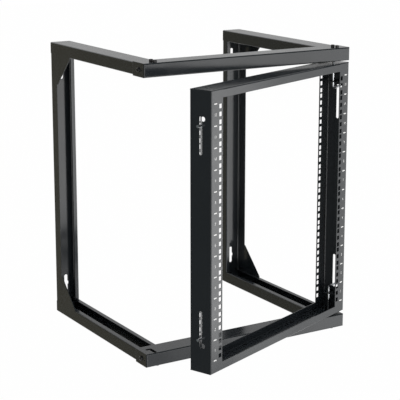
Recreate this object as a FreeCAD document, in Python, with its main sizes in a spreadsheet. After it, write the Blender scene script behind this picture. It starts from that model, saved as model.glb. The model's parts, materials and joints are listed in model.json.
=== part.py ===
import FreeCAD, Part
import math
import os

import Sketcher

# Wall-mount open frame rack for 19 inch equipment, twelve units high, with a swinging front gate.
# Millimetres.  The origin is on the wall plane, in the middle of the right upright's back web.
# X runs to the right seen from the front, Y into the wall and Z up.

doc = FreeCAD.newDocument("rack")
sheet = doc.addObject("Spreadsheet::Sheet", "sizes")


class Size:
    """A length or angle kept both as sheet formula text and as its number."""

    def __init__(self, text, value):
        self.text = text
        self.value = float(value)

    @staticmethod
    def of(item):
        """Take a Size as it is and wrap a plain number."""
        return item if isinstance(item, Size) else Size(repr(float(item)), item)

    def _join(self, other, sign, value):
        return Size("(%s %s %s)" % (self.text, sign, other.text), value)

    def __add__(self, other):
        other = Size.of(other)
        return self._join(other, "+", self.value + other.value)

    def __sub__(self, other):
        other = Size.of(other)
        return self._join(other, "-", self.value - other.value)

    def __mul__(self, other):
        other = Size.of(other)
        return self._join(other, "*", self.value * other.value)

    def __truediv__(self, other):
        other = Size.of(other)
        return self._join(other, "/", self.value / other.value)

    def __neg__(self):
        return Size("(-1 * %s)" % self.text, -self.value)

    __radd__ = __add__
    __rmul__ = __mul__


def cell(name, value, note):
    """Write one driving size into the sheet and return it."""
    cell.row += 1
    sheet.set("A%d" % cell.row, note)
    sheet.set("B%d" % cell.row, repr(value))
    sheet.setAlias("B%d" % cell.row, name)
    return Size("sizes." + name, value)


cell.row = 0

# Rack standard
unit_pitch = cell("unit_pitch", 44.45, "one rack unit")
unit_count = cell("unit_count", 12, "rack units")
column_spacing = cell("column_spacing", 465.1, "hole column to hole column")
column_margin = cell("column_margin", 7.55, "hole column to the flange's free edge")
square_hole = cell("square_hole", 9.5, "cage nut hole")
first_hole = cell("first_hole", 6.35, "unit edge to its first hole")
hole_step = cell("hole_step", 15.875, "first to second and second to third hole")

# Sheet
wall = cell("sheet_gauge", 1.5, "steel sheet of every folded piece")
bend = cell("fold_radius", 2.5, "outside radius of a fold")

# Fixed frame
frame_depth = cell("frame_depth", 450.0, "wall to the front of the beams")
channel_width = cell("channel_width", 51.0, "side to side, uprights and arms")
beam_height = cell("beam_height", 30.0, "front beam, top to bottom")
beam_depth = cell("beam_depth", 48.0, "front beam, front to back")
upright_outer = cell("upright_outer", 30.0, "outer flange of an upright")
upright_inner = cell("upright_inner", 20.5, "inner flange of an upright")
upright_lip = cell("upright_lip", 10.0, "lip on an upright's inner flange")
arm_lip = cell("arm_lip", 11.5, "lip on each flange of an arm")
arm_end_gap = cell("arm_end_gap", 1.0, "arm end to the inside of the beam's front")
gusset_along = cell("gusset_along", 70.0, "gusset leg under an arm")
gusset_down = cell("gusset_down", 69.0, "gusset leg along an upright")
gusset_nose = cell("gusset_nose", 2.5, "blunt tip of a gusset")
bolt_slot_from_end = cell("bolt_slot_from_end", 69.0, "wall slot centre to the rack's end")
bolt_slot_length = cell("bolt_slot_length", 42.0, "wall slot, over all")
bolt_slot_width = cell("bolt_slot_width", 8.5, "wall slot")
bolt_eye = cell("bolt_eye", 13.0, "round eye in the middle of a wall slot")
tab_bolt = cell("tab_bolt", 7.0, "bolt hole in a beam's end tab and the arm behind it")
tab_bolt_back = cell("tab_bolt_back", 24.0, "that hole behind the beam's front")
tab_pilot = cell("tab_pilot", 3.5, "small hole beside it")
tab_pilot_back = cell("tab_pilot_back", 10.0, "that hole behind the beam's front")

# Gate
gate_gap = cell("gate_gap", 5.0, "gate to each front beam")
gate_inset = cell("gate_inset", 1.5, "closed gate's side to the beams' end")
gate_depth = cell("gate_depth", 54.0, "gate, front to back")
gate_flange = cell("gate_flange", 38.5, "drilled flange of a gate upright")
gate_margin = cell("gate_margin", 27.8, "outermost unit to the gate's end")
rail_flange = cell("rail_flange", 18.0, "flange of a gate rail")
gate_angle = cell("gate_angle", 21.8, "how far the gate stands open, degrees")

# Spring pins and what they run in
pin_from_edge = cell("pin_from_edge", 22.5, "pin axis to the gate's side")
pin_across = cell("pin_across", 6.0, "rod diameter")
pin_fit = cell("pin_fit", 0.05, "radial clearance of a pin in its hole")
pin_reach = cell("pin_reach", 7.0, "extended pin beyond the beam's flange")
pin_drawn = cell("pin_drawn", 14.0, "how far the latch pins stand drawn in")
pin_bend = cell("pin_bend", 7.0, "centre line radius of the handle bend")
pin_tip = cell("pin_tip", 0.8, "chamfer at the end of a sliding pin")
handle_from_end = cell("handle_from_end", 58.5, "handle of an extended pin to the gate's end")
handle_out = cell("handle_out", 10.0, "handle beyond the gate's side")
handle_slot_from_end = cell("handle_slot_from_end", 53.5, "handle slot to the gate's end")
handle_slot_length = cell("handle_slot_length", 79.0, "handle slot, over all")
handle_slot_width = cell("handle_slot_width", 6.8, "handle slot")
handle_notch = cell("handle_notch", 10.0, "round notch beside the slot")
handle_notch_front = cell("handle_notch_front", 6.0, "notch centre in front of the slot")
guide_from_end = cell("guide_from_end", 45.0, "guide shelf to the gate's end")
guide_gauge = cell("guide_gauge", 2.0, "guide bracket plate")
guide_width = cell("guide_width", 18.0, "guide bracket, front to back")
guide_height = cell("guide_height", 16.0, "guide bracket, up the gate's side")
guide_margin = cell("guide_margin", 8.0, "guide shelf beyond the pin axis")
catch_width = cell("catch_width", 8.0, "slot in a beam for a latch pin")
catch_hook = cell("catch_hook", 7.5, "sideways hook of that slot")
catch_front = cell("catch_front", 6.0, "slot's front end centre behind the beam's front")
spacer_across = cell("spacer_across", 14.0, "ring under the gate on the lower hinge pin")
spacer_play = cell("spacer_play", 0.3, "gate above that ring")
doc.recompute()

# Sizes that follow from those
gate_opening = column_spacing - column_margin * 2
gate_width = gate_opening + gate_flange * 2
gate_height = unit_pitch * unit_count + gate_margin * 2
frame_width = gate_width + gate_inset * 2
frame_height = gate_height + gate_gap * 2 + beam_height * 2
half_channel = channel_width / 2
half_height = frame_height / 2
arm_height = beam_height - wall * 2
arm_top = half_height - wall
frame_middle = frame_width / -2 + wall + half_channel
upright_height = frame_height - wall * 2 - arm_height * 2
half_gate = gate_width / 2
half_gate_depth = gate_depth / 2
half_gate_height = gate_height / 2
pin_x = half_gate - pin_from_edge
hinge_x = frame_middle + pin_x
hinge_y = half_gate_depth - frame_depth
pin_radius = pin_across / 2


def number(feature, name, size):
    """Bind a feature's property to the sheet."""
    feature.setExpression(name, size.text)


def body_at(label, x, y, z, angle=None):
    """Start a body and tie its placement to the sheet."""
    body = doc.addObject("PartDesign::Body", label)
    body.Label = label
    number(body, "Placement.Base.x", Size.of(x))
    number(body, "Placement.Base.y", Size.of(y))
    number(body, "Placement.Base.z", Size.of(z))
    if angle is not None:
        body.Placement = FreeCAD.Placement(
            FreeCAD.Vector(), FreeCAD.Rotation(FreeCAD.Vector(0, 0, 1), angle.value)
        )
        number(body, "Placement.Rotation.Angle", angle)
    return body


def gate_body(label):
    """Start a body that swings with the gate; its own zero is the gate's middle."""
    turned = Size("%s * 1 deg" % gate_angle.text, gate_angle.value)
    radians = math.radians(gate_angle.value)
    along = Size("cos(%s)" % turned.text, math.cos(radians))
    across = Size("sin(%s)" % turned.text, math.sin(radians))
    return body_at(label, hinge_x - pin_x * along, hinge_y - pin_x * across, 0, turned)


def sketch_on(body, role, name, lift=None):
    """Add a sketch on one of the body's own planes, lifted along the plane's normal."""
    sketch = body.newObject("Sketcher::SketchObject", "%s_%s" % (body.Name, name))
    plane = [item for item in body.Origin.OriginFeatures if item.Role == role][0]
    sketch.AttachmentSupport = [(plane, "")]
    sketch.MapMode = "FlatFace"
    if lift is not None:
        number(sketch, "AttachmentOffset.Base.z", lift)
    doc.recompute()
    return sketch


def fix_point(sketch, shape, point, x, y):
    """Hold one point of a sketch at a pair of sheet sizes."""
    for kind, axis, size in (("DistanceX", -2, x), ("DistanceY", -1, y)):
        if abs(size.value) < 1e-9:
            sketch.addConstraint(Sketcher.Constraint("PointOnObject", shape, point, axis))
        else:
            held = Sketcher.Constraint(kind, -1, 1, shape, point, size.value)
            index = sketch.addConstraint(held)
            sketch.setExpression("Constraints[%d]" % index, size.text)


def polygon(sketch, corners):
    """Draw a closed outline whose corners are pairs of sizes."""
    corners = [(Size.of(x), Size.of(y)) for x, y in corners]
    points = [FreeCAD.Vector(x.value, y.value, 0) for x, y in corners]
    first = sketch.GeometryCount
    count = len(points)
    for index in range(count):
        line = Part.LineSegment(points[index], points[(index + 1) % count])
        sketch.addGeometry(line, False)
    for index in range(count):
        following = first + (index + 1) % count
        sketch.addConstraint(Sketcher.Constraint("Coincident", first + index, 2, following, 1))
    for index, (x, y) in enumerate(corners):
        fix_point(sketch, first + index, 1, x, y)


def polyline(sketch, corners):
    """Draw an open row of straight runs whose corners are pairs of sizes."""
    points = [FreeCAD.Vector(x.value, y.value, 0) for x, y in corners]
    last = len(points) - 2
    for index in range(last + 1):
        sketch.addGeometry(Part.LineSegment(points[index], points[index + 1]), False)
        fix_point(sketch, index, 1, *corners[index])
    for index in range(last):
        sketch.addConstraint(Sketcher.Constraint("Coincident", index, 2, index + 1, 1))
    fix_point(sketch, last, 2, *corners[-1])


def rectangle(sketch, x_low, x_high, y_low, y_high):
    """Draw a rectangle between four sizes."""
    polygon(sketch, [(x_low, y_low), (x_high, y_low), (x_high, y_high), (x_low, y_high)])


def circle(sketch, x, y, diameter):
    """Draw a circle at a pair of sizes."""
    x, y = Size.of(x), Size.of(y)
    centre = FreeCAD.Vector(x.value, y.value, 0)
    ring = Part.Circle(centre, FreeCAD.Vector(0, 0, 1), diameter.value / 2)
    shape = sketch.addGeometry(ring, False)
    fix_point(sketch, shape, 3, x, y)
    index = sketch.addConstraint(Sketcher.Constraint("Diameter", shape, diameter.value))
    sketch.setExpression("Constraints[%d]" % index, diameter.text)


def slot(sketch, start, end, width):
    """Draw a slot with round ends between two end centres."""
    ends = [(Size.of(x), Size.of(y)) for x, y in (start, end)]
    a, b = [FreeCAD.Vector(x.value, y.value, 0) for x, y in ends]
    heading = math.atan2(b.y - a.y, b.x - a.x)
    side = FreeCAD.Vector(-math.sin(heading), math.cos(heading), 0) * (width.value / 2)
    normal = FreeCAD.Vector(0, 0, 1)
    quarter = math.pi / 2
    near = Part.Circle(a, normal, width.value / 2)
    far = Part.Circle(b, normal, width.value / 2)
    shapes = sketch.addGeometry(
        [
            Part.ArcOfCircle(near, heading + quarter, heading + 3 * quarter),
            Part.LineSegment(a - side, b - side),
            Part.ArcOfCircle(far, heading - quarter, heading + quarter),
            Part.LineSegment(b + side, a + side),
        ],
        False,
    )
    for index in range(4):
        following = shapes[(index + 1) % 4]
        sketch.addConstraint(Sketcher.Constraint("Tangent", shapes[index], 2, following, 1))
    for shape, (x, y) in zip((shapes[0], shapes[2]), ends):
        fix_point(sketch, shape, 3, x, y)
    index = sketch.addConstraint(Sketcher.Constraint("Radius", shapes[0], width.value / 2))
    sketch.setExpression("Constraints[%d]" % index, (width / 2).text)


def pad(body, sketch, length, middle=False, back=False):
    """Raise a sketch by a sheet length."""
    feature = body.newObject("PartDesign::Pad", sketch.Name + "_pad")
    feature.Profile = sketch
    feature.SideType = "Symmetric" if middle else "One side"
    feature.Reversed = back
    number(feature, "Length", length)
    doc.recompute()
    return feature


def pocket(body, sketch, depth=None, back=False):
    """Cut a sketch to a depth, or right through both ways when no depth is given."""
    before = body.Shape.Volume
    feature = body.newObject("PartDesign::Pocket", sketch.Name + "_cut")
    feature.Profile = sketch
    if depth is None:
        feature.Type = "ThroughAll"
        feature.SideType = "Symmetric"
    else:
        feature.Type = "Length"
        feature.Reversed = back
        number(feature, "Length", depth)
    doc.recompute()
    if not body.Shape.Volume < before - 1e-6:
        raise RuntimeError("%s removed nothing" % feature.Name)
    return feature


def edges_along(feature, axis, folds):
    """Name a feature's straight edges along an axis, whose places are pairs of sizes across it."""
    places = []
    for first, second in folds:
        pair = [Size.of(first).value, Size.of(second).value]
        pair.insert((axis.x, axis.y, axis.z).index(1.0), 0.0)
        places.append(FreeCAD.Vector(*pair))
    names = []
    for index, edge in enumerate(feature.Shape.Edges, 1):
        if edge.Curve.TypeId != "Part::GeomLine":
            continue
        ends = [vertex.Point for vertex in edge.Vertexes]
        if abs((ends[1] - ends[0]).normalize().dot(axis)) < 0.999:
            continue
        flat = ends[0] - axis * ends[0].dot(axis)
        if any((flat - place).Length < 1e-4 for place in places):
            names.append("Edge%d" % index)
    if len(names) < len(places):
        raise RuntimeError("an edge is missing on %s" % feature.Name)
    return names


def round_folds(body, feature, edges):
    """Round the outside of the folds along the named edges."""
    fillet = body.newObject("PartDesign::Fillet", feature.Name + "_folds")
    fillet.Base = (feature, edges)
    number(fillet, "Radius", bend)
    doc.recompute()
    return fillet


X_AXIS = FreeCAD.Vector(1, 0, 0)
Y_AXIS = FreeCAD.Vector(0, 1, 0)
Z_AXIS = FreeCAD.Vector(0, 0, 1)
SIDES = {"left": -1, "right": 1}
ENDS = {"bottom": -1, "top": 1}
BEND_TURNS = 4


def side_x(side):
    """The middle of a side frame across the rack."""
    return frame_middle * 2 if side < 0 else Size.of(0)


# Fixed frame: folded uprights with slots for the wall bolts


def build_upright(name, side):
    """A wall upright: back web, plain outer flange, shorter inner flange with a lip."""
    body = body_at(name + "_upright", side_x(side), 0, 0)
    outer = half_channel * side
    outer_inside = (half_channel - wall) * side
    inner = half_channel * -side
    inner_inside = (wall - half_channel) * side
    lip_end = (upright_lip - half_channel) * side
    lip_inside = wall - upright_inner
    section = sketch_on(body, "XY_Plane", "section")
    polygon(
        section,
        [
            (outer, 0),
            (outer, -upright_outer),
            (outer_inside, -upright_outer),
            (outer_inside, -wall),
            (inner_inside, -wall),
            (inner_inside, lip_inside),
            (lip_end, lip_inside),
            (lip_end, -upright_inner),
            (inner, -upright_inner),
            (inner, 0),
        ],
    )
    channel = pad(body, section, upright_height, middle=True)
    folds = [(outer, 0), (inner, 0), (inner, -upright_inner)]
    round_folds(body, channel, edges_along(channel, Z_AXIS, folds))
    level = half_height - bolt_slot_from_end
    half_run = (bolt_slot_length - bolt_slot_width) / 2
    slots = sketch_on(body, "XZ_Plane", "slots")
    eyes = sketch_on(body, "XZ_Plane", "eyes")
    for end in ENDS.values():
        slot(slots, (0, level * end - half_run), (0, level * end + half_run), bolt_slot_width)
        circle(eyes, 0, level * end, bolt_eye)
    pocket(body, slots)
    pocket(body, eyes)
    return body


def build_arm(name, side, end):
    """An arm from the wall to a front beam: web outwards, a lip on each flange, closed back end."""
    body = body_at(name + "_arm", side_x(side), 0, arm_top * end)
    outer = half_channel * side
    outer_inside = (half_channel - wall) * side
    outer_lip_end = (half_channel - arm_lip) * side
    inner = half_channel * -side
    inner_inside = (wall - half_channel) * side
    inner_lip_end = (arm_lip - half_channel) * side
    edge = arm_height * -end
    edge_inside = (wall - arm_height) * end
    web_inside = wall * -end
    section = sketch_on(body, "XZ_Plane", "section")
    polygon(
        section,
        [
            (inner, 0),
            (outer, 0),
            (outer, edge),
            (outer_lip_end, edge),
            (outer_lip_end, edge_inside),
            (outer_inside, edge_inside),
            (outer_inside, web_inside),
            (inner_inside, web_inside),
            (inner_inside, edge_inside),
            (inner_lip_end, edge_inside),
            (inner_lip_end, edge),
            (inner, edge),
        ],
    )
    channel = pad(body, section, frame_depth - wall - arm_end_gap)
    folds = [(x, z) for x in (outer, inner) for z in (0, edge)]
    round_folds(body, channel, edges_along(channel, Y_AXIS, folds))
    flap = sketch_on(body, "XZ_Plane", "flap")
    rectangle(flap, inner_inside, outer_inside, edge, web_inside)
    pad(body, flap, wall)
    hole = sketch_on(body, "YZ_Plane", "tab_hole")
    circle(hole, tab_bolt_back - frame_depth, (wall - beam_height / 2) * end, tab_bolt)
    pocket(body, hole, half_channel, back=side > 0)
    return body


def build_gusset(name, side, end):
    """A triangular plate in the corner of an upright and an arm, flush with the outer flanges."""
    inside = half_channel - wall if side > 0 else -half_channel
    body = body_at(
        name + "_gusset",
        side_x(side) + inside,
        -upright_outer,
        (arm_top - arm_height) * end,
    )
    outline = sketch_on(body, "YZ_Plane", "outline")
    polygon(
        outline,
        [
            (0, 0),
            (-gusset_along, 0),
            (-gusset_along, gusset_nose * -end),
            (-gusset_nose, gusset_down * -end),
            (0, gusset_down * -end),
        ],
    )
    pad(body, outline, wall)
    return body


# Fixed frame: front beams with the catches and bearings of the gate


def build_beam(name, end):
    """A front beam folded like a tray, open at the back, over the ends of two arms."""
    body = body_at(name + "_beam", frame_middle, beam_depth - frame_depth, 0)
    low, high = half_height * end, (half_height - beam_height) * end
    shell = sketch_on(body, "XZ_Plane", "shell")
    rectangle(shell, frame_width / -2, frame_width / 2, low, high)
    block = pad(body, shell, beam_depth)
    long_folds = edges_along(block, X_AXIS, [(-beam_depth, z) for z in (low, high)])
    tab_folds = edges_along(block, Z_AXIS, [(frame_width / 2 * way, -beam_depth) for way in (-1, 1)])
    round_folds(body, block, long_folds + tab_folds)
    hollow = sketch_on(body, "XZ_Plane", "hollow")
    rectangle(
        hollow,
        frame_width / -2 + wall,
        frame_width / 2 - wall,
        low - wall * end,
        high + wall * end,
    )
    pocket(body, hollow, beam_depth - wall, back=True)
    tabs = sketch_on(body, "YZ_Plane", "tabs")
    middle = (half_height - beam_height / 2) * end
    circle(tabs, tab_bolt_back - beam_depth, middle, tab_bolt)
    circle(tabs, tab_pilot_back - beam_depth, middle, tab_pilot)
    pocket(body, tabs)
    pin_y = half_gate_depth - beam_depth
    outward = end < 0
    catch = sketch_on(body, "XY_Plane", "catch", middle)
    slot(catch, (-pin_x, catch_front - beam_depth), (-pin_x, pin_y), catch_width)
    pocket(body, catch, beam_height / 2, back=outward)
    hook = sketch_on(body, "XY_Plane", "hook", middle)
    slot(hook, (-pin_x - catch_hook, pin_y), (-pin_x, pin_y), catch_width)
    pocket(body, hook, beam_height / 2, back=outward)
    bearing = sketch_on(body, "XY_Plane", "bearing", middle)
    circle(bearing, pin_x, pin_y, pin_across + pin_fit * 2)
    pocket(body, bearing, beam_height / 2, back=outward)
    return body


# Gate: drilled uprights between two rails


def build_gate_upright(name, side):
    """A gate upright: outer web, front and rear flanges with three square holes to the unit."""
    body = gate_body("gate_" + name + "_upright")
    outer = half_gate * side
    inside = (half_gate - wall) * side
    free = (half_gate - gate_flange) * side
    section = sketch_on(body, "XY_Plane", "section")
    polygon(
        section,
        [
            (outer, -half_gate_depth),
            (outer, half_gate_depth),
            (free, half_gate_depth),
            (free, half_gate_depth - wall),
            (inside, half_gate_depth - wall),
            (inside, wall - half_gate_depth),
            (free, wall - half_gate_depth),
            (free, -half_gate_depth),
        ],
    )
    channel = pad(body, section, gate_height - wall * 2, middle=True)
    folds = [(outer, half_gate_depth * face) for face in (-1, 1)]
    round_folds(body, channel, edges_along(channel, Z_AXIS, folds))
    column = column_spacing / 2 * side
    lowest = unit_pitch * unit_count / -2 + first_hole
    holes = sketch_on(body, "XZ_Plane", "holes")
    for step in range(3):
        level = lowest + hole_step * step
        rectangle(
            holes,
            column - square_hole / 2,
            column + square_hole / 2,
            level - square_hole / 2,
            level + square_hole / 2,
        )
    unit = pocket(body, holes)
    pattern = body.newObject("PartDesign::LinearPattern", body.Name + "_units")
    pattern.Originals = [unit]
    pattern.Direction = (holes, ["V_Axis"])
    body.Tip = pattern
    number(pattern, "Length", unit_pitch * (unit_count - 1))
    number(pattern, "Occurrences", unit_count)
    doc.recompute()
    slots = sketch_on(body, "YZ_Plane", "slots", inside)
    notches = sketch_on(body, "YZ_Plane", "notches", inside)
    for end in ENDS.values():
        outer_end = (half_gate_height - handle_slot_from_end - handle_slot_width / 2) * end
        inner_end = outer_end - (handle_slot_length - handle_slot_width) * end
        slot(slots, (0, outer_end), (0, inner_end), handle_slot_width)
        notch = (half_gate_height - handle_slot_from_end - handle_notch / 2) * end
        circle(notches, -handle_notch_front, notch, handle_notch)
    pocket(body, slots)
    pocket(body, notches)
    return body


def build_gate_rail(name, end):
    """A gate rail: web over the ends of both uprights, front and rear flanges between them."""
    body = gate_body("gate_" + name + "_rail")
    face = half_gate_height * end
    under = (half_gate_height - wall) * end
    free = (half_gate_height - rail_flange) * end
    half_opening = half_gate - gate_flange
    web = sketch_on(body, "XY_Plane", "web", under if end > 0 else face)
    rectangle(web, -half_gate, half_gate, -half_gate_depth, half_gate_depth)
    pad(body, web, wall)
    flanges = sketch_on(body, "YZ_Plane", "flanges")
    rectangle(flanges, -half_gate_depth, wall - half_gate_depth, free, under)
    rectangle(flanges, half_gate_depth - wall, half_gate_depth, free, under)
    folded = pad(body, flanges, half_opening * 2, middle=True)
    folds = [(half_gate_depth * way, face) for way in (-1, 1)]
    round_folds(body, folded, edges_along(folded, X_AXIS, folds))
    holes = sketch_on(body, "XY_Plane", "pin_holes", face)
    for side in SIDES.values():
        circle(holes, pin_x * side, 0, pin_across + pin_fit * 2)
    pocket(body, holes)
    return body


def build_guide(name, side, end):
    """A bracket inside a gate upright whose shelf guides a pin."""
    body = gate_body(name + "_guide")
    seat = (half_gate - wall) * side
    seat_inside = (half_gate - wall - guide_gauge) * side
    tongue = (pin_x - guide_margin) * side
    shelf = (half_gate_height - guide_from_end) * end
    shelf_top = (half_gate_height - guide_from_end + guide_gauge) * end
    top = (half_gate_height - guide_from_end + guide_height) * end
    section = sketch_on(body, "XZ_Plane", "section")
    polygon(
        section,
        [
            (seat, shelf),
            (seat, top),
            (seat_inside, top),
            (seat_inside, shelf_top),
            (tongue, shelf_top),
            (tongue, shelf),
        ],
    )
    pad(body, section, guide_width, middle=True)
    hole = sketch_on(body, "XY_Plane", "hole", shelf)
    circle(hole, pin_x * side, 0, pin_across + pin_fit * 2)
    pocket(body, hole)
    return body


def build_pin(name, side, end, drawn, pointed=False):
    """A bent rod: a straight pin through guide and rail, and a handle out through the gate's side.

    The bend is a row of short straight runs, tangent to the bend's centre line.  A pin that slides is
    pointed to find its catch.
    """
    body = gate_body(name + "_pin")
    tip = (half_gate_height + gate_gap + wall + pin_reach - drawn) * end
    handle = (half_gate_height - handle_from_end - drawn) * end
    turn = math.pi / 2 / BEND_TURNS
    corners = [(pin_x * side, tip)]
    for step in range(BEND_TURNS):
        reach = pin_bend / math.cos(turn / 2)
        angle = turn * (step + 0.5)
        across = (pin_x + pin_bend - reach * math.cos(angle)) * side
        corners.append((across, handle + (pin_bend - reach * math.sin(angle)) * end))
    corners.append(((half_gate + handle_out) * side, handle))
    path = sketch_on(body, "XZ_Plane", "path")
    polyline(path, corners)
    rod = sketch_on(body, "XY_Plane", "rod", tip)
    circle(rod, pin_x * side, 0, pin_across)
    doc.recompute()
    pipe = body.newObject("PartDesign::AdditivePipe", body.Name + "_bent_rod")
    pipe.Profile = rod
    pipe.Spine = (path, ["Edge%d" % run for run in range(1, len(corners))])
    pipe.Transition = "Right corner"
    doc.recompute()
    if pointed:
        rims = []
        for index, edge in enumerate(pipe.Shape.Edges, 1):
            box = edge.BoundBox
            if edge.isClosed() and box.ZLength < 1e-6 and abs(box.ZMin - tip.value) < 1e-4:
                rims.append("Edge%d" % index)
        chamfer = body.newObject("PartDesign::Chamfer", body.Name + "_tip")
        chamfer.Base = (pipe, rims)
        number(chamfer, "Size", pin_tip)
        doc.recompute()
    return body


def build_spacer():
    """The ring on the lower hinge pin that carries the gate."""
    body = body_at("hinge_spacer", hinge_x, hinge_y, beam_height - half_height)
    ring = sketch_on(body, "XY_Plane", "ring")
    circle(ring, 0, 0, spacer_across)
    circle(ring, 0, 0, pin_across + pin_fit * 2)
    pad(body, ring, gate_gap - spacer_play)
    return body


parts = []
for side_name, side in SIDES.items():
    parts.append(build_upright(side_name, side))
    parts.append(build_gate_upright(side_name, side))
    for end_name, end in ENDS.items():
        corner = side_name + "_" + end_name
        parts.append(build_arm(corner, side, end))
        parts.append(build_gusset(corner, side, end))
        parts.append(build_guide(corner, side, end))
for end_name, end in ENDS.items():
    parts.append(build_beam(end_name, end))
    parts.append(build_gate_rail(end_name, end))
    parts.append(build_pin(end_name + "_hinge", 1, end, Size.of(0)))
    parts.append(build_pin(end_name + "_latch", -1, end, pin_drawn, pointed=True))
parts.append(build_spacer())
doc.recompute()

for item in doc.Objects:
    if "Invalid" in item.State or "Error" in item.State:
        raise RuntimeError("%s is %s" % (item.Name, item.State))
os.makedirs("parts", exist_ok=True)
for part in parts:
    shape = part.Shape
    if shape.isNull() or not shape.isValid() or shape.Volume <= 0:
        raise RuntimeError("%s has no valid shape" % part.Label)
    shape.exportStep("parts/%s.step" % part.Label)
    print("%-22s %9.1f mm3" % (part.Label, shape.Volume))
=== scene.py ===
"""Looks of a wall-mount open frame rack with a swing gate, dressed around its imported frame.

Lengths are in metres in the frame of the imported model: the wall is the plane y = 0, +Z is up, and the
gate stands in front of the beams at negative y. Sizes written in millimetres are multiplied by MM.
"""

import json
import logging
import math
from dataclasses import dataclass, field
from enum import Enum
from typing import Any, Iterable, Mapping

import bmesh
import bpy
from mathutils import Matrix, Vector

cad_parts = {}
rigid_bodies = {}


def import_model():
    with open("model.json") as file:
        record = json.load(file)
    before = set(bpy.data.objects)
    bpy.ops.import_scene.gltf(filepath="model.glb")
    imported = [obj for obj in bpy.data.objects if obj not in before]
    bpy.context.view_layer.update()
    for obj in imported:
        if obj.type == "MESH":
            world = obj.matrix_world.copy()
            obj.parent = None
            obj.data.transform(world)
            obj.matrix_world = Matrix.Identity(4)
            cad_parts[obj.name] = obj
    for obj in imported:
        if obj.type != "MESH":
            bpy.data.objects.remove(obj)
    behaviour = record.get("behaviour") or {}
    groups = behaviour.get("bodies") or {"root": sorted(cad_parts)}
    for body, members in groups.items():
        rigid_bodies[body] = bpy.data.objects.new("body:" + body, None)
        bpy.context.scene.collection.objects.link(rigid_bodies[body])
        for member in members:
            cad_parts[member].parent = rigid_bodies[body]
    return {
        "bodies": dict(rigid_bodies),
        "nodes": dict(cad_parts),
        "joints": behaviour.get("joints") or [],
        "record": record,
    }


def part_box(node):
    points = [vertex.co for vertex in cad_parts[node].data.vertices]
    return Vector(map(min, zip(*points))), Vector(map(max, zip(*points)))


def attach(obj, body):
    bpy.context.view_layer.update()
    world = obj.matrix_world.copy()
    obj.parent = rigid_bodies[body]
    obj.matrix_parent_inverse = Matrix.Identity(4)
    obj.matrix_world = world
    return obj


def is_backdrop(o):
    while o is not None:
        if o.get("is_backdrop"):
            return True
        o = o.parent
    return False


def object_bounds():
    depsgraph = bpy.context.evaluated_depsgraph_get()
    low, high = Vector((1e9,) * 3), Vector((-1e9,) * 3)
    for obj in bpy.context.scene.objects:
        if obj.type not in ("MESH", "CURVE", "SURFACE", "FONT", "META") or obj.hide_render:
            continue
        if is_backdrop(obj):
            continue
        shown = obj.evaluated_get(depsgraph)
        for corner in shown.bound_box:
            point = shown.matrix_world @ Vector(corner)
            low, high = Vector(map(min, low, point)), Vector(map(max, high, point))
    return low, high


LOG = logging.getLogger("open_frame_rack")
MM = 0.001
# The photograph's width in pixels and the sensor's in millimetres.
PHOTO_WIDTH = 400
SENSOR = 36.0
# The thickness of the steel sheet.
SHEET = 1.5 * MM
# Vertices closer than this are one vertex.
MERGE_DISTANCE = 0.001 * MM
# Edges that turn by fewer degrees are shaded smooth.
SMOOTH_BELOW = 30.0
# The number of a hexagon's sides.
HEXAGON = 6
# Nearly all values of a noise texture lie between these two.
NOISE_LOW = 0.3
NOISE_HIGH = 0.7
WHITE = "#ffffff"
DARK_GREY = "#55585c"
# The way the lamp faces, and each card that stands in a row with it.
TO_RACK = (-0.77, 0.638, 0)


class Body(str, Enum):
    """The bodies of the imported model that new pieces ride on."""

    FRAME = "frame"
    GATE = "gate"


class Slot(str, Enum):
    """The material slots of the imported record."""

    FRAME_COAT = "frame_coat"
    GATE_COAT = "gate_coat"


class Side(Enum):
    """The two sides of the rack, as signs along X."""

    LEFT = -1
    RIGHT = 1

    @property
    def word(self) -> str:
        """Returns the side's name for use in piece names."""
        return self.name.lower()


class End(Enum):
    """The lower and upper end of the rack, as signs along Z."""

    BOTTOM = -1
    TOP = 1

    @property
    def word(self) -> str:
        """Returns the end's name for use in piece names."""
        return self.name.lower()


def linear(hex_colour: str) -> tuple[float, float, float, float]:
    """Turns an sRGB hex colour into linear red, green, blue and alpha.

    Args:
        hex_colour: A colour such as "#2c2d30".

    Returns:
        The linear colour with an alpha of 1.
    """
    channels = [int(hex_colour[place:place + 2], 16) / 255 for place in (1, 3, 5)]
    red, green, blue = [
        value / 12.92 if value <= 0.04045 else ((value + 0.055) / 1.055) ** 2.4 for value in channels
    ]
    return red, green, blue, 1.0


def add_node(
    tree: bpy.types.NodeTree,
    kind: str,
    inputs: Mapping[str | int, Any] | None = None,
    **settings: Any,
) -> bpy.types.Node:
    """Adds one node to a tree, with its settings and its links.

    Args:
        tree: The node tree of a material or of the world.
        kind: The node's type name.
        inputs: A value, or an output socket to link, for each named or numbered input.
        **settings: Properties of the node.

    Returns:
        The new node.
    """
    node = tree.nodes.new(kind)
    for name, value in settings.items():
        setattr(node, name, value)
    for socket, value in (inputs or {}).items():
        if isinstance(value, bpy.types.NodeSocket):
            tree.links.new(value, node.inputs[socket])
        else:
            node.inputs[socket].default_value = value
    return node


def new_material(name: str) -> tuple[bpy.types.Material, bpy.types.NodeTree]:
    """Makes an empty node material.

    Args:
        name: The material's name.

    Returns:
        The material and its emptied node tree.
    """
    material = bpy.data.materials.new(name)
    material.use_nodes = True
    material.node_tree.nodes.clear()
    return material, material.node_tree


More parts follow.
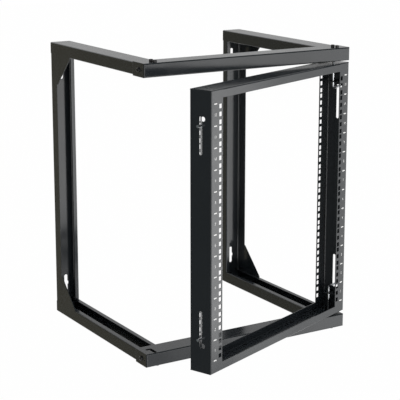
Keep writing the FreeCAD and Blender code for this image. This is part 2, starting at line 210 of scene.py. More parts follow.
@dataclass(frozen=True)
class PowderCoat:
    """Polyester powder coat baked on steel sheet: a satin skin with a soft orange peel.

    The dark resin sends back little light of its own, so the eye sees the bright room mirrored softly
    in it, faintly dimpled, with slightly duller patches where the powder lay thicker.
    """

    name: str = "satin_black_powder_coat"
    thin_resin: str = "#1f2327"
    thick_resin: str = "#25292c"
    ior: float = 1.5
    glossiest: float = 0.13
    dullest: float = 0.19
    # The real peel is about 2 mm from crest to crest. It is drawn twice as coarse so that it shows.
    peel: float = 4 * MM
    peel_height: float = 0.012 * MM
    # The powder's thickness changes over about 60 mm.
    patch: float = 60 * MM
    # The coat draws back from a cut edge into a small round.
    edge_round: float = 0.7 * MM
    edge_samples: int = 4

    def build(self) -> bpy.types.Material:
        """Returns the coat as a material."""
        material, tree = new_material(self.name)
        place = add_node(tree, "ShaderNodeTexCoord").outputs["Object"]
        patches = add_node(
            tree, "ShaderNodeTexNoise", {"Vector": place, "Scale": 1 / self.patch, "Detail": 3.0}
        ).outputs["Fac"]
        peel = add_node(
            tree, "ShaderNodeTexNoise", {"Vector": place, "Scale": 1 / self.peel, "Detail": 1.0}
        ).outputs["Fac"]
        colour = add_node(
            tree,
            "ShaderNodeMix",
            {"Factor": patches, "A": linear(self.thin_resin), "B": linear(self.thick_resin)},
            data_type="RGBA",
        )
        roughness = add_node(
            tree,
            "ShaderNodeMapRange",
            {"Value": patches, "From Min": NOISE_LOW, "From Max": NOISE_HIGH,
             "To Min": self.glossiest, "To Max": self.dullest},
        )
        edge = add_node(tree, "ShaderNodeBevel", {"Radius": self.edge_round}, samples=self.edge_samples)
        bump = add_node(
            tree,
            "ShaderNodeBump",
            {"Height": peel, "Distance": self.peel_height, "Normal": edge.outputs["Normal"]},
        )
        shader = add_node(
            tree,
            "ShaderNodeBsdfPrincipled",
            {
                "Base Color": colour.outputs["Result"],
                "Roughness": roughness.outputs["Result"],
                "IOR": self.ior,
                "Normal": bump.outputs["Normal"],
            },
        )
        add_node(tree, "ShaderNodeOutputMaterial", {"Surface": shader.outputs["BSDF"]})
        return material


@dataclass(frozen=True)
class ZincPlatedRod:
    """Drawn steel rod with bright zinc plate: a pale metal with fine marks along the draw."""

    name: str = "zinc_plated_drawn_rod"
    bright: str = "#d3d5d7"
    passivated: str = "#b3b6b9"
    glossiest: float = 0.08
    dullest: float = 0.18
    # Draw marks are hair-fine. They are drawn half a millimetre wide so that they show.
    mark_width: float = 0.5 * MM
    mark_length: float = 18 * MM
    mark_height: float = 0.006 * MM
    # The plating bath leaves faint clouds about 9 mm across.
    cloud: float = 9 * MM

    def build(self) -> bpy.types.Material:
        """Returns the plated rod as a material."""
        material, tree = new_material(self.name)
        place = add_node(tree, "ShaderNodeTexCoord").outputs["Object"]
        along = add_node(
            tree,
            "ShaderNodeMapping",
            {"Vector": place, "Scale": (1 / self.mark_width, 1 / self.mark_width, 1 / self.mark_length)},
        ).outputs["Vector"]
        marks = add_node(
            tree, "ShaderNodeTexNoise", {"Vector": along, "Scale": 1.0, "Detail": 2.0}
        ).outputs["Fac"]
        clouds = add_node(
            tree, "ShaderNodeTexNoise", {"Vector": place, "Scale": 1 / self.cloud, "Detail": 2.0}
        ).outputs["Fac"]
        colour = add_node(
            tree,
            "ShaderNodeMix",
            {"Factor": clouds, "A": linear(self.bright), "B": linear(self.passivated)},
            data_type="RGBA",
        )
        roughness = add_node(
            tree,
            "ShaderNodeMapRange",
            {"Value": marks, "From Min": NOISE_LOW, "From Max": NOISE_HIGH,
             "To Min": self.glossiest, "To Max": self.dullest},
        )
        bump = add_node(tree, "ShaderNodeBump", {"Height": marks, "Distance": self.mark_height})
        shader = add_node(
            tree,
            "ShaderNodeBsdfPrincipled",
            {
                "Base Color": colour.outputs["Result"],
                "Metallic": 1.0,
                "Roughness": roughness.outputs["Result"],
                "Normal": bump.outputs["Normal"],
            },
        )
        add_node(tree, "ShaderNodeOutputMaterial", {"Surface": shader.outputs["BSDF"]})
        return material


@dataclass(frozen=True)
class BlackOxide:
    """Steel fasteners blackened in an oxide bath and oiled: near black, with a dull sheen."""

    name: str = "black_oxide_steel"
    dark: str = "#101012"
    worn: str = "#1d1d1d"
    roughness: float = 0.36
    ior: float = 1.6
    # The oxide's grain is far finer. It is drawn 1.2 mm wide so that it shows.
    grain: float = 1.2 * MM
    grain_height: float = 0.01 * MM

    def build(self) -> bpy.types.Material:
        """Returns the blackened steel as a material."""
        material, tree = new_material(self.name)
        place = add_node(tree, "ShaderNodeTexCoord").outputs["Object"]
        grain = add_node(
            tree, "ShaderNodeTexNoise", {"Vector": place, "Scale": 1 / self.grain, "Detail": 3.0}
        ).outputs["Fac"]
        colour = add_node(
            tree,
            "ShaderNodeMix",
            {"Factor": grain, "A": linear(self.dark), "B": linear(self.worn)},
            data_type="RGBA",
        )
        bump = add_node(tree, "ShaderNodeBump", {"Height": grain, "Distance": self.grain_height})
        shader = add_node(
            tree,
            "ShaderNodeBsdfPrincipled",
            {
                "Base Color": colour.outputs["Result"],
                "Roughness": self.roughness,
                "IOR": self.ior,
                "Normal": bump.outputs["Normal"],
            },
        )
        add_node(tree, "ShaderNodeOutputMaterial", {"Surface": shader.outputs["BSDF"]})
        return material


@dataclass(frozen=True)
class ScreenInk:
    """Screen-printed ink on the coat: matt and opaque, a little thin where the mesh held back."""

    name: str = "white_screen_ink"
    full: str = "#f2f2f0"
    thin: str = "#d4d4d2"
    roughness: float = 0.55
    # The screen's mesh is about 0.1 mm. Its specks are drawn at half a millimetre so that they show.
    speck: float = 0.5 * MM
    # The ink goes from full to thin between these two values of the specks' noise.
    thin_from: float = 0.55
    thin_to: float = 0.8

    def build(self) -> bpy.types.Material:
        """Returns the ink as a material."""
        material, tree = new_material(self.name)
        place = add_node(tree, "ShaderNodeTexCoord").outputs["Object"]
        specks = add_node(
            tree, "ShaderNodeTexNoise", {"Vector": place, "Scale": 1 / self.speck, "Detail": 1.0}
        ).outputs["Fac"]
        thinness = add_node(
            tree,
            "ShaderNodeMapRange",
            {"Value": specks, "From Min": self.thin_from, "From Max": self.thin_to},
        ).outputs["Result"]
        colour = add_node(
            tree,
            "ShaderNodeMix",
            {"Factor": thinness, "A": linear(self.full), "B": linear(self.thin)},
            data_type="RGBA",
        )
        shader = add_node(
            tree,
            "ShaderNodeBsdfPrincipled",
            {"Base Color": colour.outputs["Result"], "Roughness": self.roughness},
        )
        add_node(tree, "ShaderNodeOutputMaterial", {"Surface": shader.outputs["BSDF"]})
        return material


@dataclass(frozen=True)
class Finishes:
    """The built materials of the rack."""

    coat: bpy.types.Material
    weld_coat: bpy.types.Material
    zinc: bpy.types.Material
    oxide: bpy.types.Material
    ink: bpy.types.Material

    @classmethod
    def build(cls) -> "Finishes":
        """Returns every finish as a material."""
        return cls(
            coat=PowderCoat().build(),
            weld_coat=PowderCoat(name="satin_black_coat_over_weld", edge_round=0.0).build(),
            zinc=ZincPlatedRod().build(),
            oxide=BlackOxide().build(),
            ink=ScreenInk().build(),
        )


def add_piece(
    name: str,
    shape: bmesh.types.BMesh,
    body: Body,
    material: bpy.types.Material,
) -> None:
    """Turns a finished bmesh into a piece that rides on a body.

    Args:
        name: The piece's name.
        shape: The mesh in its final place. It is freed here.
        body: The body that carries the piece.
        material: Its finish.
    """
    bmesh.ops.remove_doubles(shape, verts=shape.verts, dist=MERGE_DISTANCE)
    bmesh.ops.recalc_face_normals(shape, faces=shape.faces)
    mesh = bpy.data.meshes.new(name)
    shape.to_mesh(mesh)
    shape.free()
    mesh.materials.append(material)
    mesh.shade_smooth()
    mesh.set_sharp_from_angle(angle=math.radians(SMOOTH_BELOW))
    piece = bpy.data.objects.new(name, mesh)
    bpy.context.scene.collection.objects.link(piece)
    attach(piece, body.value)
    LOG.info("%s: %d faces on %s", name, len(mesh.polygons), body.value)


@dataclass
class GateAxes:
    """The gate's own axes: origin on the hinge line, x along the gate, y from its front to its rear."""

    pivot: Vector
    opening: float

    @classmethod
    def of(cls, frame: Mapping[str, Any]) -> "GateAxes":
        """Reads the axes from the gate's joint.

        Args:
            frame: The loaded frame.

        Returns:
            The axes of the gate as it stands at rest.
        """
        swing = next(joint for joint in frame["joints"] if joint["name"] == "gate_swing")
        return cls(Vector(swing["pos_m"]), math.radians(-swing["range_deg"][0]))

    def matrix(self) -> Matrix:
        """Returns the matrix from the gate's axes to the frame."""
        return Matrix.Translation(self.pivot) @ Matrix.Rotation(self.opening, 4, "Z")

    def box(self, node: bpy.types.Object) -> tuple[Vector, Vector]:
        """Measures a node along the gate's axes.

        Args:
            node: A node of the gate.

        Returns:
            The node's lowest and highest corner.
        """
        back = self.matrix().inverted()
        points = [back @ vertex.co for vertex in node.data.vertices]
        low = Vector(min(point[axis] for point in points) for axis in range(3))
        high = Vector(max(point[axis] for point in points) for axis in range(3))
        return low, high


@dataclass
class UnitMarks:
    """The printed scale on a gate upright: a white dash at each unit line, a number in each unit."""

    gate: GateAxes
    upright: bpy.types.Object
    side: Side
    unit: float = 44.45 * MM
    units: int = 12
    from_edge: float = 13.7 * MM
    dash_length: float = 9.5 * MM
    dash_height: float = 2.3 * MM
    dash_round: float = 0.6 * MM
    round_steps: int = 3
    ink_depth: float = 0.08 * MM
    digit_height: float = 6 * MM
    # Capitals of the built-in typeface are 0.73 of its size.
    digit_share: float = 0.73
    digit_steps: int = 3

    def column(self) -> Vector:
        """Returns the middle of the scale's column on the front flange, in the gate's axes."""
        low, high = self.gate.box(self.upright)
        edge = low.x if self.side is Side.LEFT else high.x
        return Vector((edge - self.side.value * self.from_edge, low.y, (low.z + high.z) / 2))

    def lines(self) -> list[float]:
        """Returns the height of each unit line over the column's middle."""
        return [(count - self.units / 2) * self.unit for count in range(self.units + 1)]

    def build_dashes(self, material: bpy.types.Material) -> None:
        """Builds the dashes as one thin layer of ink.

        Args:
            material: The ink.
        """
        shape = bmesh.new()
        for line in self.lines():
            place = Matrix.Translation(self.column() + Vector((0, -self.ink_depth / 2, line)))
            size = Matrix.Diagonal((self.dash_length, self.ink_depth, self.dash_height, 1))
            bmesh.ops.create_cube(shape, size=1, matrix=place @ size)
        ends = [
            edge for edge in shape.edges
            if abs(edge.verts[0].co.y - edge.verts[1].co.y) > self.ink_depth / 2
        ]
        bmesh.ops.bevel(
            shape, geom=ends, offset=self.dash_round, segments=self.round_steps, profile=0.5,
            affect="EDGES", material=-1,
        )
        bmesh.ops.transform(shape, matrix=self.gate.matrix(), verts=shape.verts)
        name = f"{self.side.word}_unit_dashes"
        add_piece(name, shape, Body.GATE, material)

    def digit_mesh(self, number: int) -> bpy.types.Mesh:
        """Makes a number as a flat mesh in the XY plane.

        Args:
            number: The unit's number.

        Returns:
            A mesh that the caller removes.
        """
        words = bpy.data.curves.new("unit_number", "FONT")
        words.body = str(number)
        words.size = self.digit_height / self.digit_share
        words.align_x = "CENTER"
        words.align_y = "CENTER"
        words.resolution_u = self.digit_steps
        words.extrude = self.ink_depth / 2
        holder = bpy.data.objects.new("unit_number", words)
        mesh = bpy.data.meshes.new_from_object(holder)
        bpy.data.objects.remove(holder)
        bpy.data.curves.remove(words)
        return mesh

    def build_numbers(self, material: bpy.types.Material) -> None:
        """Builds the numbers, counted from the lowest unit up.

        Args:
            material: The ink.
        """
        shape = bmesh.new()
        upright = Matrix.Rotation(math.radians(90), 4, "X")
        for number, line in enumerate(self.lines()[:-1], start=1):
            mesh = self.digit_mesh(number)
            middle = self.column() + Vector((0, -self.ink_depth / 2, line + self.unit / 2))
            mesh.transform(self.gate.matrix() @ Matrix.Translation(middle) @ upright)
            shape.from_mesh(mesh)
            bpy.data.meshes.remove(mesh)
        name = f"{self.side.word}_unit_numbers"
        add_piece(name, shape, Body.GATE, material)


def vertices_of(parts: Iterable[Any]) -> list[bmesh.types.BMVert]:
    """Returns the vertices among the parts that an operator made."""
    return [part for part in parts if isinstance(part, bmesh.types.BMVert)]


def move_to_polygon(ring: Iterable[bmesh.types.BMVert], across: float, sides: int) -> None:
    """Moves a ring's vertices straight in or out onto a regular polygon about the Z axis.

    Args:
        ring: The vertices.
        across: The polygon's width across its flats.
        sides: The number of its sides. A corner lies on the X axis.
    """
    turn = math.tau / sides
    for vertex in ring:
        from_flat = math.atan2(vertex.co.y, vertex.co.x) % turn - turn / 2
        vertex.co.xy *= across / 2 / math.cos(from_flat) / vertex.co.xy.length


def copy_into(shape: bmesh.types.BMesh, part: bmesh.types.BMesh) -> None:
    """Adds a finished part to a mesh and frees the part.

    Args:
        shape: The mesh that receives the part.
        part: The part in its place.
    """
    bmesh.ops.recalc_face_normals(part, faces=part.faces)
    carrier = bpy.data.meshes.new("carrier")
    part.to_mesh(carrier)
    part.free()
    shape.from_mesh(carrier)
    bpy.data.meshes.remove(carrier)


def fill_corner(
    shape: bmesh.types.BMesh,
    line: tuple[Vector, Vector],
    first: Vector,
    second: Vector,
    radius: float,
    steps: int = 6,
) -> None:
    """Adds a slim prism with one hollow side along the line of a corner.

    Args:
        shape: The mesh that receives it.
        line: The two ends of the corner's line.
        first: The way from the corner along one of its walls.
        second: The way along the other wall.
        radius: The radius of the hollow side.
        steps: The number of its facets.
    """
    start, stop = line
    corner = shape.verts.new(start)
    tangent = shape.verts.new(start + second * radius)
    older = set(shape.verts)
    bmesh.ops.spin(
        shape, geom=[tangent], cent=start + (first + second) * radius, axis=first.cross(second),
        angle=math.radians(90), steps=steps,
    )
    arc = [vertex for vertex in shape.verts if vertex not in older]
    face = shape.faces.new([corner, tangent, *arc])
    grown = bmesh.ops.extrude_face_region(shape, geom=[face])["geom"]
    bmesh.ops.translate(shape, vec=stop - start, verts=vertices_of(grown))


@dataclass
class GateBends:
    """The round insides of the gate's folds: a slim fillet in each inner corner of its four channels."""

    gate: GateAxes
    nodes: Mapping[str, bpy.types.Object]
    sheet: float = SHEET
    radius: float = 2.5 * MM

    def build(self, material: bpy.types.Material) -> None:
        """Builds the fillets of both uprights and both rails as one piece.

        Args:
            material: The gate's coat.
        """
        shape = bmesh.new()
        boxes = {side: self.gate.box(self.nodes[f"gate_{side.word}_upright"]) for side in Side}
        opening = (boxes[Side.LEFT][1].x, boxes[Side.RIGHT][0].x)
        for toward_rear in (1, -1):
            flange = Vector((0, toward_rear, 0))
            for side, (low, high) in boxes.items():
                face = low if side is Side.LEFT else high
                edge = low if toward_rear > 0 else high
                x = face.x - side.value * self.sheet
                y = edge.y + toward_rear * self.sheet
                line = (Vector((x, y, low.z)), Vector((x, y, high.z)))
                fill_corner(shape, line, Vector((-side.value, 0, 0)), flange, self.radius)
            for end in End:
                low, high = self.gate.box(self.nodes[f"gate_{end.word}_rail"])
                face = high if end is End.TOP else low
                edge = low if toward_rear > 0 else high
                y = edge.y + toward_rear * self.sheet
                z = face.z - end.value * self.sheet
                line = (Vector((opening[0], y, z)), Vector((opening[1], y, z)))
                fill_corner(shape, line, Vector((0, 0, -end.value)), flange, self.radius)
        bmesh.ops.transform(shape, matrix=self.gate.matrix(), verts=shape.verts)
        add_piece("gate_inner_bends", shape, Body.GATE, material)


@dataclass
class SideFrame:
    """What the folding and welding of a side frame leave: round insides of folds and ground welds."""

    side: Side
    sheet: float = SHEET
    inner_bend: float = 4 * MM
    # An arm's fold is round outside, which leaves a groove between it and the plates that meet it.
    outer_bend: float = 2.5 * MM
    inner_flange: float = 20.5 * MM
    # A weld is ground down until it hardly stands proud, and covers a little of both plates.
    weld_proud: float = 0.05 * MM
    weld_overlap: float = 1.2 * MM

    def build_bends(self, material: bpy.types.Material) -> None:
        """Builds the insides of the upright's two folds beside its web.

        Args:
            material: The frame's coat.
        """
        low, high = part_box(f"{self.side.word}_upright")
        shape = bmesh.new()
        web = high.y - self.sheet
        for x, inwards in ((low.x + self.sheet, 1), (high.x - self.sheet, -1)):
            line = (Vector((x, web, low.z)), Vector((x, web, high.z)))
            fill_corner(shape, line, Vector((inwards, 0, 0)), Vector((0, -1, 0)), self.inner_bend)
        add_piece(f"{self.side.word}_upright_bends", shape, Body.FRAME, material)

    def add_skin(self, shape: bmesh.types.BMesh, low: Vector, high: Vector) -> None:
        """Adds the thin ground face of a weld.

        Args:
            shape: The mesh that receives it.
            low: One corner of the face's box.
            high: The opposite corner.
        """
        size = [abs(span) for span in high - low]
        place = Matrix.Translation((low + high) / 2) @ Matrix.Diagonal((*size, 1))
        bmesh.ops.create_cube(shape, size=1, matrix=place)

    def add_arm_weld(
        self, shape: bmesh.types.BMesh, seam: Vector, front: float, out: int, end: End
    ) -> None:
        """Fills the groove beside an arm's fold.

        Args:
            shape: The mesh that receives the weld.
            seam: The back end of the seam, on the outside of both plates.
            front: Where the seam ends towards the front.
            out: The way out of the plates along X.
            end: The arm's end of the rack.
        """
        along = (seam, Vector((seam.x, front, seam.z)))
        fill_corner(shape, along, Vector((-out, 0, 0)), Vector((0, 0, end.value)), self.outer_bend)
        over_arm = end.value * (self.outer_bend + self.weld_overlap)
        over_plate = Vector((0, 0, end.value * self.weld_overlap))
        beyond = Vector((out * self.weld_proud, front - seam.y, over_arm))
        self.add_skin(shape, seam - over_plate, seam + beyond)

    def build_welds(self, material: bpy.types.Material) -> None:
        """Builds the welds of the upper and the lower corner.

        Args:
            material: The coat over a ground weld.
        """
        shape = bmesh.new()
        out = self.side.value
        for end in End:
            low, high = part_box(f"{self.side.word}_{end.word}_gusset")
            outer = high.x if self.side is Side.RIGHT else low.x
            level = high.z if end is End.TOP else low.z
            seam = Vector((outer, -self.outer_bend, level))
            self.add_arm_weld(shape, seam, low.y, out, end)
            on_gusset = Vector((outer, high.y - self.weld_overlap, low.z))
            on_upright = Vector((outer + out * self.weld_proud, high.y + self.weld_overlap, high.z))
            self.add_skin(shape, on_gusset, on_upright)
            upright_low, upright_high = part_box(f"{self.side.word}_upright")
            inner = upright_low.x if self.side is Side.RIGHT else upright_high.x
            seam = Vector((inner, -self.outer_bend, level))
            self.add_arm_weld(shape, seam, self.outer_bend - self.inner_flange, -out, end)
        add_piece(f"{self.side.word}_frame_welds", shape, Body.FRAME, material)


@dataclass
class SocketBolt:
    """A bolt with a hexagon socket, its shank along -Z from the head's seat at z = 0.

    The sizes given here are those of an M5 cap head.
    """

    head_across: float = 8.5 * MM
    head_height: float = 5.0 * MM
    head_round: float = 0.5 * MM
    socket_across: float = 4.0 * MM
    socket_depth: float = 2.5 * MM
    shank_across: float = 5.0 * MM
    shank_length: float = 12 * MM
    shank_tip: float = 0.6 * MM
    around: int = 24
    round_steps: int = 3

    def profile(self) -> list[Vector]:
        """Returns the half outline of head and shank, from the head's flat to the shank's tip."""
        head, shank = self.head_across / 2, self.shank_across / 2
        return [
            Vector((head, 0, self.head_height)),
            Vector((head, 0, 0)),
            Vector((shank, 0, 0)),
            Vector((shank, 0, self.shank_tip - self.shank_length)),
            Vector((shank - self.shank_tip, 0, -self.shank_length)),
        ]

    def build(self, shape: bmesh.types.BMesh, place: Matrix) -> None:
        """Adds the bolt to a bmesh.

        Args:
            shape: The mesh that receives the bolt.
            place: Where the head's seat lies, with +Z out of the seat.
        """
        bolt = bmesh.new()
        outline = [bolt.verts.new(point) for point in self.profile()]
        edges = [bolt.edges.new(pair) for pair in zip(outline, outline[1:])]
        bmesh.ops.spin(
            bolt, geom=outline + edges, cent=(0, 0, 0), axis=(0, 0, 1), angle=math.tau,
            steps=self.around, use_merge=True,
        )
        bmesh.ops.holes_fill(bolt, edges=bolt.edges)
        self.round_head(bolt)
        self.cut_socket(bolt)
        bmesh.ops.holes_fill(bolt, edges=bolt.edges)
        bmesh.ops.transform(bolt, matrix=place, verts=bolt.verts)
        copy_into(shape, bolt)

    def head_flat(self, bolt: bmesh.types.BMesh) -> bmesh.types.BMFace:
        """Returns the flat face on top of the head."""
        return max(bolt.faces, key=lambda face: face.calc_center_median().z)

    def round_head(self, bolt: bmesh.types.BMesh) -> None:
        """Rounds the edge of the head's flat and opens the flat for the socket.

        Args:
            bolt: The bolt's mesh, closed and with a sharp head.
        """
        bmesh.ops.bevel(
            bolt, geom=list(self.head_flat(bolt).edges), offset=self.head_round,
            segments=self.round_steps, profile=0.5, affect="EDGES", material=-1,
        )
        bmesh.ops.delete(bolt, geom=[self.head_flat(bolt)], context="FACES_ONLY")

    def cut_socket(self, bolt: bmesh.types.BMesh) -> None:
        """Draws the rim of the head's flat in to a hexagon and sinks the hexagon into the head.

        Args:
            bolt: The bolt's mesh, open at the head's flat.
        """
        rim = [edge for edge in bolt.edges if edge.is_boundary]
        drawn_in = bmesh.ops.extrude_edge_only(bolt, edges=rim)["geom"]
        move_to_polygon(vertices_of(drawn_in), self.socket_across, HEXAGON)
        hexagon = [edge for edge in bolt.edges if edge.is_boundary]
        sunk = bmesh.ops.extrude_edge_only(bolt, edges=hexagon)["geom"]
        bmesh.ops.translate(bolt, vec=(0, 0, -self.socket_depth), verts=vertices_of(sunk))


@dataclass
class HexNut:
    """A hexagon nut on a plain washer, its washer's seat at z = 0 and the nut along +Z."""

    across: float = 8 * MM
    height: float = 4 * MM
    bore: float = 5.2 * MM
    chamfer: float = 0.5 * MM
    washer_across: float = 10 * MM
    washer_height: float = 1 * MM
    around: int = 24

    def ring(self, across: float, sides: int, low: float, high: float) -> bmesh.types.BMesh:
        """Makes a ring with a round bore.

        Args:
            across: Its width across the outer flats.
            sides: The number of outer sides, which divides the count around.
            low: The height of its seat.
            high: The height of its top.

        Returns:
            The ring as a new bmesh.
        """
        ring = bmesh.new()
        at_seat = Matrix.Translation((0, 0, low))
        bmesh.ops.create_circle(ring, segments=self.around, radius=self.bore / 2, matrix=at_seat)
        widened = bmesh.ops.extrude_edge_only(ring, edges=list(ring.edges))["geom"]
        move_to_polygon(vertices_of(widened), across, sides)
        grown = bmesh.ops.extrude_face_region(ring, geom=list(ring.faces))["geom"]
        bmesh.ops.translate(ring, vec=(0, 0, high - low), verts=vertices_of(grown))
        return ring

    def build(self, shape: bmesh.types.BMesh, place: Matrix) -> None:
        """Adds the washer and the nut to a bmesh.

        Args:
            shape: The mesh that receives them.
            place: Where the washer's seat lies, with +Z out of the seat.
        """
        washer = self.ring(self.washer_across, self.around, 0, self.washer_height)
        nut = self.ring(self.across, HEXAGON, self.washer_height, self.washer_height + self.height)
        # Only the hexagon's corners stand this far out.
        reach = self.across / 2 / math.cos(math.pi / HEXAGON)
        corners = [vertex for vertex in nut.verts if vertex.co.xy.length > reach - self.chamfer / 4]
        bmesh.ops.bevel(
            nut, geom=corners, offset=self.chamfer, segments=1, profile=0.5, affect="VERTICES",
            material=-1,
        )
        for part in (washer, nut):
            bmesh.ops.transform(part, matrix=place, verts=part.verts)
            copy_into(shape, part)


@dataclass
class BeamBolts:
    """The bolts that hold a front beam to the arms inside it: two over each arm and one in each end tab.

    The upper beam has cap heads. Nothing stands out below the lower beam, so its heads are very low.
    """

    end: End
    from_end: float = 30 * MM
    from_front: tuple[float, float] = (7.5 * MM, 24 * MM)
    tab_from_front: float = 24 * MM
    sheet: float = SHEET
    cap_bolt: SocketBolt = field(default_factory=SocketBolt)
    low_bolt: SocketBolt = field(
        default_factory=lambda: SocketBolt(
            head_across=9 * MM,
            head_height=1.5 * MM,
            head_round=0.3 * MM,
            socket_across=3 * MM,
            socket_depth=2 * MM,
        )
    )
    tab_bolt: SocketBolt = field(
        default_factory=lambda: SocketBolt(
            head_across=10.5 * MM,
            head_height=3.3 * MM,
            head_round=2 * MM,
            socket_depth=2 * MM,
            shank_across=6 * MM,
        )
    )
    nut: HexNut = field(default_factory=HexNut)
    tab_nut: HexNut = field(
        default_factory=lambda: HexNut(
            across=10 * MM, height=5 * MM, bore=6.2 * MM, washer_across=12 * MM, washer_height=1.6 * MM
        )
    )

    def seats(self, side: Side) -> Iterable[tuple[Vector, Vector, SocketBolt, HexNut]]:
        """Lists the bolts at one end of the beam.

        Args:
            side: The beam's end.

        Returns:
            For each bolt its seat, the way its head faces, the bolt and its nut.
        """
        low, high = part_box(f"{self.end.word}_beam")
        edge = low.x if side is Side.LEFT else high.x
        face = high.z if self.end is End.TOP else low.z
        bolt = self.cap_bolt if self.end is End.TOP else self.low_bolt
        for reach in self.from_front:
            seat = Vector((edge - side.value * self.from_end, low.y + reach, face))
            yield seat, Vector((0, 0, self.end.value)), bolt, self.nut
        seat = Vector((edge, low.y + self.tab_from_front, (low.z + high.z) / 2))
        yield seat, Vector((side.value, 0, 0)), self.tab_bolt, self.tab_nut

    def build(self, material: bpy.types.Material) -> None:
        """Builds the bolts of the beam with their nuts behind the two sheets.

        Args:
            material: The fasteners' finish.
        """
        for side in Side:
            bolts = bmesh.new()
            nuts = bmesh.new()
            for seat, outwards, bolt, nut in self.seats(side):
                behind = seat - outwards * 2 * self.sheet
                for part, shape, point, facing in (
                    (bolt, bolts, seat, outwards),
                    (nut, nuts, behind, -outwards),
                ):
                    turned = facing.to_track_quat("Z", "Y").to_matrix().to_4x4()
                    part.build(shape, Matrix.Translation(point) @ turned)
            name = f"{self.end.word}_{side.word}_beam"
            add_piece(f"{name}_bolts", bolts, Body.FRAME, material)
            add_piece(f"{name}_nuts", nuts, Body.FRAME, material)


@dataclass
class Rack:
    """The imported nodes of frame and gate, dressed in their finishes."""

    frame: Mapping[str, Any]
    zinc_words: tuple[str, ...] = ("pin", "spacer")

    def dress(self, finishes: Finishes) -> None:
        """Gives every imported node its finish.

        Args:
            finishes: The built materials.
        """
        for name, node in self.frame["nodes"].items():
            plated = name.split("_")[-1] in self.zinc_words
            node.data.materials.clear()
            node.data.materials.append(finishes.zinc if plated else finishes.coat)
            LOG.info("%s: %s", name, node.data.materials[0].name)


@dataclass(frozen=True)
class Card:
    """A flat card of the studio that glows evenly. Mirrors see it and the camera doesn't.

    A card that is only mirrored neither lights nor shades anything else.
    """

    name: str
    at: tuple[float, float, float]
    facing: tuple[float, float, float]
    size: tuple[float, float]
    colour: str
    strength: float = 1.0
    only_mirrored: bool = False


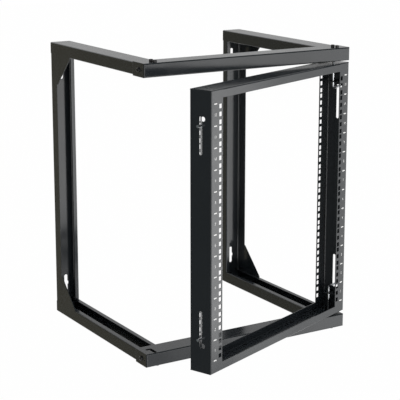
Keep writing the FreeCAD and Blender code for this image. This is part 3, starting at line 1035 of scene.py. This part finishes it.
@dataclass
class Studio:
    """A pale floor well below the hung rack, a white room, one broad soft lamp and a few cards."""

    floor_drop: float = 2.2
    floor_size: float = 60.0
    floor_white: str = "#f4f4f2"
    # How bright the room is to a matt surface. The camera and mirrors see it as full white.
    room_light: float = 0.9
    # How much of that white covers the matt floor. The rest keeps the rack's soft shadow.
    floor_glow: float = 0.97
    lamp_at: tuple[float, float, float] = (1.68, -1.998, -0.54)
    lamp_facing: tuple[float, float, float] = TO_RACK
    lamp_size: tuple[float, float] = (2.188, 1.48)
    lamp_radiance: float = 1.6
    cards: tuple[Card, ...] = (
        # Faces that look left mirror two grey walls.
        Card("left_wall", (-2.0, -0.35, -0.4), (1, 0, 0), (2.5, 4.2), "#6e7272"),
        Card("far_left_wall", (-2.0, 3.05, -0.4), (1, 0, 0), (4.3, 4.2), "#8c8878"),
        # The folds of the right uprights catch a light line from beside the camera.
        Card(
            "camera_card", (-1.0, -3.9, -0.9), (0.15, 0.99, 0), (3, 1.8), WHITE, 2.5,
            only_mirrored=True,
        ),
        # The fronts of the beams mirror the next two, and the front of the gate the two after them.
        Card("front_card", (0.743, -3.163, -0.6), TO_RACK, (0.8, 1.6), WHITE, 0.9),
        Card("front_strip", (0.823, -3.034, -0.53), TO_RACK, (0.75, 1.0), WHITE, 2.8),
        Card("right_strip", (2.17, -1.406, -0.745), TO_RACK, (0.45, 0.87), WHITE, 3.4),
        Card("right_card", (2.89, -0.538, -0.6), TO_RACK, (1.585, 1.6), WHITE, 1.2),
        # This wall and the ceiling draw the dark lines along the upper front edges.
        Card("dark_right_wall", (2.11, -1.51, 1.45), TO_RACK, (5, 2.4), DARK_GREY, only_mirrored=True),
        # The top faces mirror this one.
        Card("back_card", (2.0, 3.1, 1.1), (-0.59, -0.81, 0), (4.5, 2.6), "#cbcbcb", only_mirrored=True),
        Card("dark_ceiling", (3.0, -4.0, 2.6), (0, 0, -1), (10, 10), DARK_GREY, only_mirrored=True),
    )

    def seen(self, tree: bpy.types.NodeTree, share: float, least: float = 0.0) -> bpy.types.NodeSocket:
        """Adds nodes that tell a ray from the camera or from a mirror or glass from the rest.

        Args:
            tree: The tree that receives the nodes.
            share: What such a ray adds.
            least: What every other ray gets.

        Returns:
            The socket with that number.
        """
        rays = add_node(tree, "ShaderNodeLightPath").outputs
        level = least
        for kind in ("Is Camera Ray", "Is Glossy Ray", "Is Transmission Ray"):
            level = add_node(
                tree, "ShaderNodeMath", {0: rays[kind], 1: share, 2: level}, operation="MULTIPLY_ADD",
                use_clamp=True,
            ).outputs[0]
        return level

    def build_room(self) -> None:
        """Makes the world white to the camera and to mirrors, and a little dimmer to matt surfaces."""
        world = bpy.data.worlds.new("white_room")
        world.use_nodes = True
        tree = world.node_tree
        tree.nodes.clear()
        level = self.seen(tree, 1 - self.room_light, self.room_light)
        light = add_node(tree, "ShaderNodeBackground", {"Color": linear(WHITE), "Strength": level})
        add_node(tree, "ShaderNodeOutputWorld", {"Surface": light.outputs["Background"]})
        bpy.context.scene.world = world

    def build_floor(self, low: Vector, high: Vector) -> None:
        """Lays the floor below the rack, nearly white to the camera and mirrors and matt to the rest.

        Args:
            low: The object's lowest corner.
            high: Its highest corner.
        """
        material, tree = new_material("pale_floor")
        seen = self.seen(tree, self.floor_glow)
        matt = add_node(tree, "ShaderNodeBsdfDiffuse", {"Color": linear(self.floor_white)})
        glow = add_node(tree, "ShaderNodeEmission", {"Color": linear(WHITE), "Strength": 1.0})
        mixed = add_node(
            tree, "ShaderNodeMixShader", {0: seen, 1: matt.outputs["BSDF"], 2: glow.outputs["Emission"]}
        )
        add_node(tree, "ShaderNodeOutputMaterial", {"Surface": mixed.outputs["Shader"]})
        middle = (low + high) / 2
        place = Matrix.Translation((middle.x, middle.y, low.z - self.floor_drop))
        shape = bmesh.new()
        bmesh.ops.create_grid(shape, x_segments=1, y_segments=1, size=self.floor_size / 2, matrix=place)
        self.add_stage("floor", shape, material)

    def build_card(self, card: Card) -> None:
        """Sets up one card.

        Args:
            card: The card's place, size and glow.
        """
        material, tree = new_material(card.name)
        glow = add_node(
            tree, "ShaderNodeEmission", {"Color": linear(card.colour), "Strength": card.strength}
        )
        add_node(tree, "ShaderNodeOutputMaterial", {"Surface": glow.outputs["Emission"]})
        turned = Vector(card.facing).to_track_quat("Z", "Y").to_matrix().to_4x4()
        size = Matrix.Diagonal((*card.size, 1, 1))
        shape = bmesh.new()
        place = Matrix.Translation(card.at) @ turned @ size
        bmesh.ops.create_grid(shape, x_segments=1, y_segments=1, size=0.5, matrix=place)
        stage = self.add_stage(card.name, shape, material)
        stage.visible_camera = False
        stage.visible_diffuse = not card.only_mirrored
        stage.visible_shadow = not card.only_mirrored

    def add_stage(
        self, name: str, shape: bmesh.types.BMesh, material: bpy.types.Material
    ) -> bpy.types.Object:
        """Adds a mesh that isn't part of the object.

        Args:
            name: The object's name.
            shape: Its mesh, which is freed.
            material: Its material.

        Returns:
            The new object.
        """
        mesh = bpy.data.meshes.new(name)
        shape.to_mesh(mesh)
        shape.free()
        mesh.materials.append(material)
        stage = bpy.data.objects.new(name, mesh)
        bpy.context.scene.collection.objects.link(stage)
        stage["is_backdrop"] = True
        return stage

    def build_lamp(self) -> None:
        """Hangs the broad soft lamp at the front right."""
        width, height = self.lamp_size
        data = bpy.data.lights.new("soft_lamp", "AREA")
        data.shape = "RECTANGLE"
        data.size = width
        data.size_y = height
        data.energy = self.lamp_radiance * math.pi * width * height
        lamp = bpy.data.objects.new("soft_lamp", data)
        lamp.location = self.lamp_at
        lamp.rotation_euler = Vector(self.lamp_facing).to_track_quat("-Z", "Y").to_euler()
        lamp.visible_camera = False
        bpy.context.scene.collection.objects.link(lamp)

    def build(self, low: Vector, high: Vector) -> None:
        """Builds the whole studio around the object.

        Args:
            low: The object's lowest corner.
            high: Its highest corner.
        """
        self.build_room()
        self.build_floor(low, high)
        for card in self.cards:
            self.build_card(card)
        self.build_lamp()
        bpy.context.scene.view_settings.view_transform = "Standard"


@dataclass
class PhotoCamera:
    """The camera at the photograph's place.

    Its turn and dip are in degrees, and its focal length in pixels of the photograph.
    """

    at: tuple[float, float, float] = (-1.812, -2.8065, 0.6975)
    turn: float = 31.49
    dip: float = 12.28
    focal_pixels: float = 1324.2
    shift_up: float = -0.08

    def build(self) -> None:
        """Makes the camera the scene's camera."""
        data = bpy.data.cameras.new("photo_camera")
        data.sensor_width = SENSOR
        data.lens = SENSOR * self.focal_pixels / PHOTO_WIDTH
        data.shift_y = self.shift_up
        camera = bpy.data.objects.new("photo_camera", data)
        camera.location = self.at
        camera.rotation_euler = (math.radians(90 - self.dip), 0, math.radians(-self.turn))
        bpy.context.scene.collection.objects.link(camera)
        bpy.context.scene.camera = camera


def main() -> None:
    """Loads the frame, dresses it, adds the pieces and sets up the studio."""
    logging.basicConfig(level=logging.INFO, format="%(name)s: %(message)s")
    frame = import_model()
    cad_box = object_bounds()
    finishes = Finishes.build()
    Rack(frame).dress(finishes)
    gate = GateAxes.of(frame)
    for side in Side:
        marks = UnitMarks(gate, frame["nodes"][f"gate_{side.word}_upright"], side)
        marks.build_dashes(finishes.ink)
        marks.build_numbers(finishes.ink)
    GateBends(gate, frame["nodes"]).build(finishes.coat)
    for side in Side:
        side_frame = SideFrame(side)
        side_frame.build_bends(finishes.coat)
        side_frame.build_welds(finishes.weld_coat)
    for end in End:
        BeamBolts(end).build(finishes.oxide)
    Studio().build(*cad_box)
    PhotoCamera().build()


if __name__ == "__main__":
    main()
